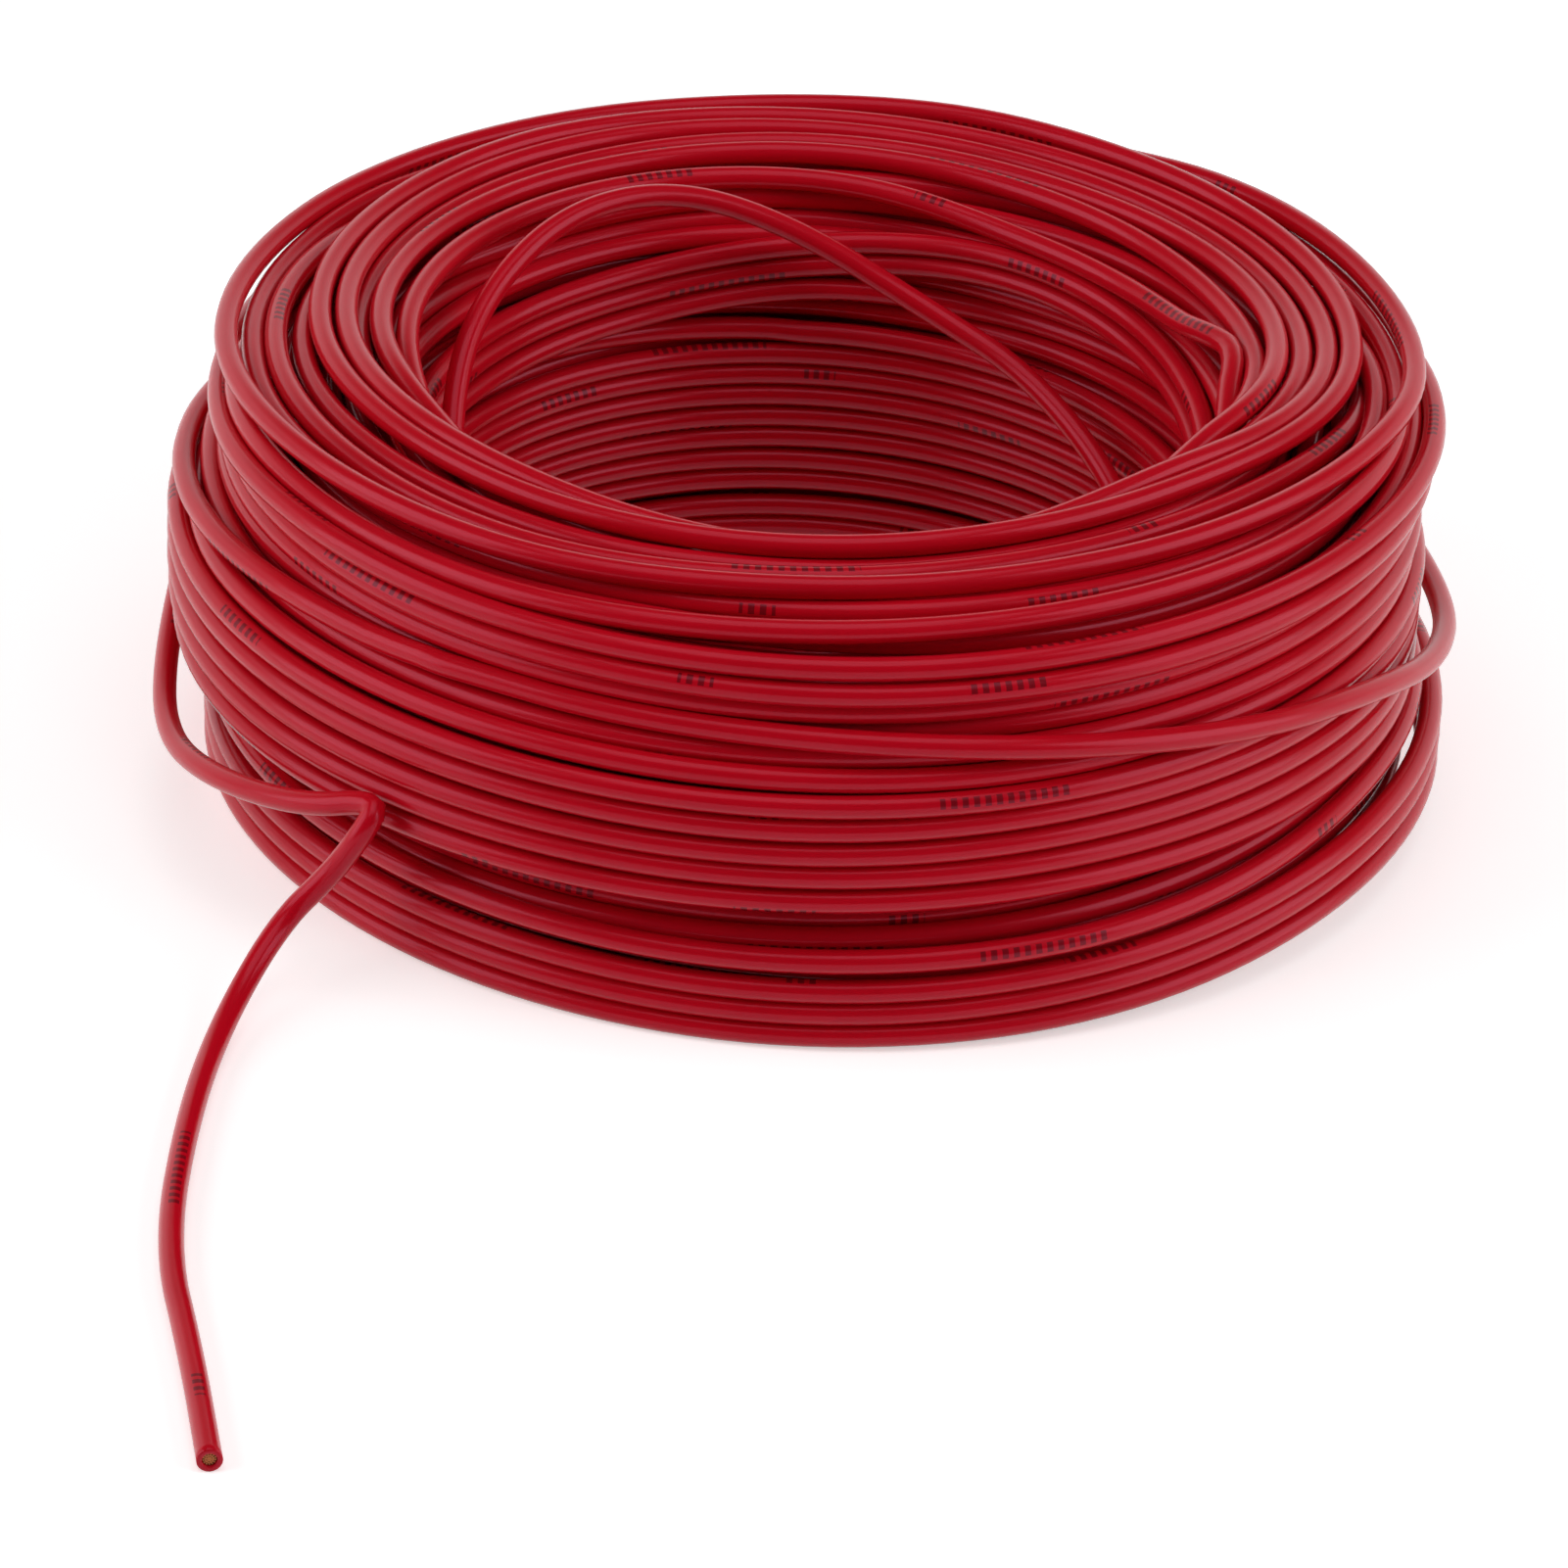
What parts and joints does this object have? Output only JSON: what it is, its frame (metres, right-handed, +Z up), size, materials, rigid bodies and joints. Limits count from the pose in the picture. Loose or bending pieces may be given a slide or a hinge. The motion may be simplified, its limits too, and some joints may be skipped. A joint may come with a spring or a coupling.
{
  "type": "wire coil",
  "caption": "Self-supporting ring coil of red PVC-insulated stranded copper wire, wound without a drum, with a loose outer turn and both cut ends free.",
  "frame": {"origin": "on the axis of the coil's eye, in the plane that the coil lies on", "axes": "+Z up along the eye's axis, +Y to the back of the coil, away from the tail, +X to the right as seen with the tail at the front left"},
  "size_m": [0.1542, 0.2415, 0.0546],
  "materials": {
    "insulation": "satin red extruded PVC",
    "buried_turns": "the same red PVC, in the coil's own shade",
    "conductor": "bright cut copper strands"
  },
  "bodies": {
    "root": {"coil_core": "buried_turns", "eye_turns": "insulation", "upper_turns": "insulation", "foot_turns": "insulation", "outer_end": "insulation", "inner_end": "insulation", "outer_strands": "conductor", "inner_strands": "conductor"}
  },
  "joints": []
}
